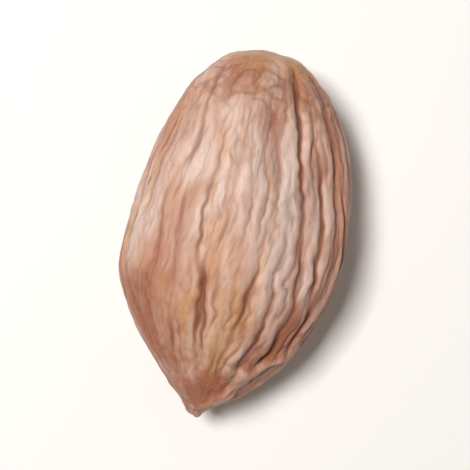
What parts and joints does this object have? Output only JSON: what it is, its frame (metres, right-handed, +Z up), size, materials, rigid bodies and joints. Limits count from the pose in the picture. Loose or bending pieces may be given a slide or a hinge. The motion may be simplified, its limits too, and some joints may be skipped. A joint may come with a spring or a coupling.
{
  "type": "peanut kernel",
  "caption": "Shelled peanut in its papery skin: a ridged, egg-shaped seed with a blunt end, a beak and a pale scar beside it.",
  "frame": {"origin": "middle of the floor of the bounding box, on the flat spot that the seed rests on", "axes": "+X along the seed towards its beak, +Z up from the surface it rests on, +Y across it towards the side with the scar"},
  "size_m": [0.0186, 0.011, 0.0094],
  "materials": {
    "skin": "satin"
  },
  "bodies": {
    "root": {"kernel": "skin"}
  },
  "joints": []
}
